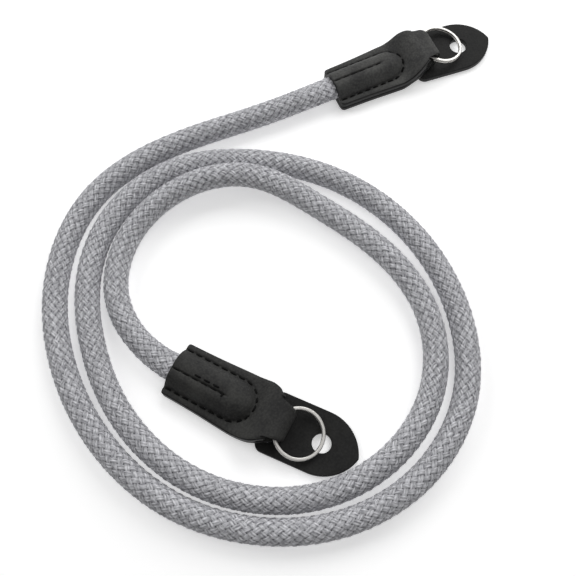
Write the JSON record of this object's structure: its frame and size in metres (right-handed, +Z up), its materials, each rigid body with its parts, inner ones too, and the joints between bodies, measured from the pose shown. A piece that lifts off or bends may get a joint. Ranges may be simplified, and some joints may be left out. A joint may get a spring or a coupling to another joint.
{
  "type": "camera neck strap",
  "caption": "Camera neck strap of round braided rope with leather end tabs, split rings and lug pads, laid in a loose coil.",
  "frame": {"origin": "on the surface the strap lies on, under the middle of the box round the two tabs, rings and pads", "axes": "+Z up from the surface; +Y from the near tab towards the far one"},
  "size_m": [0.167, 0.2019, 0.0129],
  "materials": {
    "rope": "heathered grey braid, matt",
    "leather": "near-black, fine grain, low sheen",
    "ring_steel": "nickel plated, bright"
  },
  "bodies": {
    "strap": {"braided_rope": "rope", "near_leather_tab": "leather", "far_leather_tab": "leather", "near_lug_pad": "leather", "far_lug_pad": "leather"},
    "near_ring": {"near_split_ring": "ring_steel"},
    "far_ring": {"far_split_ring": "ring_steel"}
  },
  "joints": [
    {"name": "near_ring_swing", "type": "hinge", "parent": "strap", "child": "near_ring", "pos_m": [-0.02194, -0.07315, 0.0065], "axis": [-0.471, -0.8821, 0], "range_deg": [0, 105]},
    {"name": "far_ring_swing", "type": "hinge", "parent": "strap", "child": "far_ring", "pos_m": [0.03499, 0.07453, 0.0065], "axis": [0.4194, -0.9078, 0], "range_deg": [0, 105]}
  ]
}
